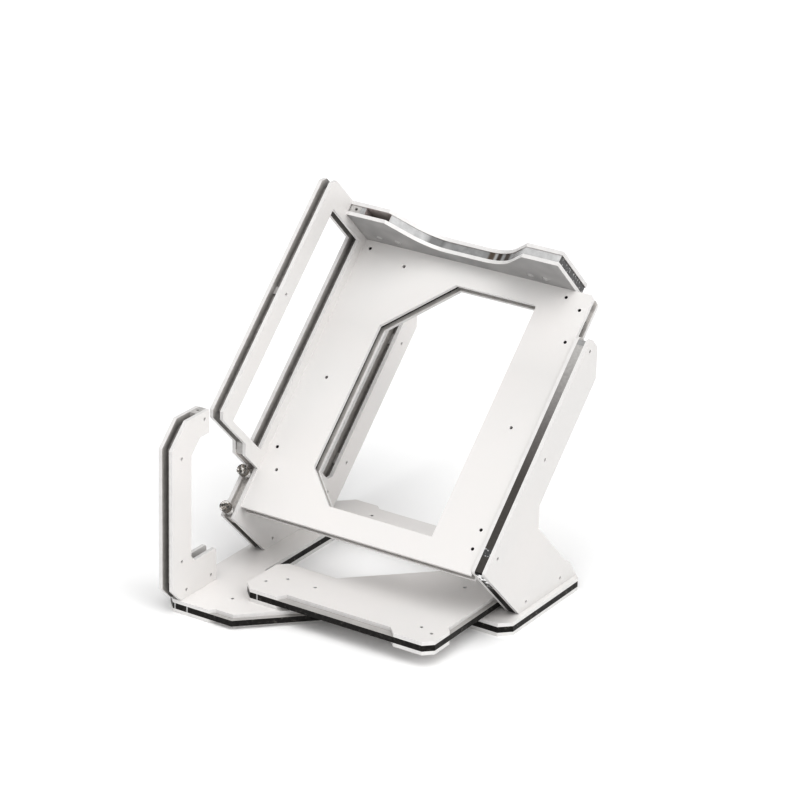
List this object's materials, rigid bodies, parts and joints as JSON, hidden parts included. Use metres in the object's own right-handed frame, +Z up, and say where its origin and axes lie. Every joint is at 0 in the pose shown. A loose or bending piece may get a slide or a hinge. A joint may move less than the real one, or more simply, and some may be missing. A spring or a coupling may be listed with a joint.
{
  "type": "open air test bench",
  "caption": "Leaning open computer bench: windowed mainboard tray and hand-hold shelf of sandwiched acrylic sheets between side frames on an open base.",
  "frame": {"origin": "on the floor, on the inner face of the left side panel, where its sloping front edge meets the base", "axes": "+X to the right along the tray, +Y to the back, +Z up"},
  "size_m": [0.307, 0.4289, 0.3711],
  "materials": {
    "white_acrylic": "satin white sheet with sawn edges",
    "black_acrylic": "black sheet, matt cut edge",
    "clear_acrylic": "clear sheet, frosted cut edge",
    "block_acrylic": "milled pale block",
    "blackened_steel": "blackened",
    "zinc_steel": "zinc plated",
    "chrome": "polished, knurled head"
  },
  "bodies": {
    "root": {"base_bottom_plate": "white_acrylic", "base_clamp_screws": "blackened_steel", "base_core": "black_acrylic", "base_joint_screws": "zinc_steel", "base_top_plate": "white_acrylic", "card_bracket_core": "black_acrylic", "card_bracket_inner_plate": "white_acrylic", "card_bracket_nut_blocks": "block_acrylic", "card_bracket_outer_plate": "white_acrylic", "card_bracket_set_screws": "blackened_steel", "front_cross_bottom_plate": "white_acrylic", "front_cross_clamp_screws": "blackened_steel", "front_cross_core": "black_acrylic", "front_cross_joint_screws": "blackened_steel", "front_cross_top_plate": "white_acrylic", "left_joint_screws": "zinc_steel", "left_side_core": "black_acrylic", "left_side_inner_plate": "white_acrylic", "left_side_nut_blocks": "block_acrylic", "left_side_outer_plate": "white_acrylic", "left_side_set_screws": "blackened_steel", "right_joint_screws": "zinc_steel", "right_side_core": "black_acrylic", "right_side_inner_plate": "white_acrylic", "right_side_nut_blocks": "block_acrylic", "right_side_outer_plate": "white_acrylic", "right_side_set_screws": "blackened_steel", "shelf_core": "clear_acrylic", "shelf_cover_screws": "blackened_steel", "shelf_joint_screws": "zinc_steel", "shelf_lower_plate": "white_acrylic", "shelf_nut_block": "block_acrylic", "shelf_upper_plate": "white_acrylic", "thumb_screw_bar": "zinc_steel", "thumb_screw_lower": "chrome", "thumb_screw_upper": "chrome", "tray_back_plate": "white_acrylic", "tray_core": "black_acrylic", "tray_front_plate": "white_acrylic", "tray_nut_blocks": "block_acrylic", "tray_set_screws": "blackened_steel"}
  },
  "joints": []
}
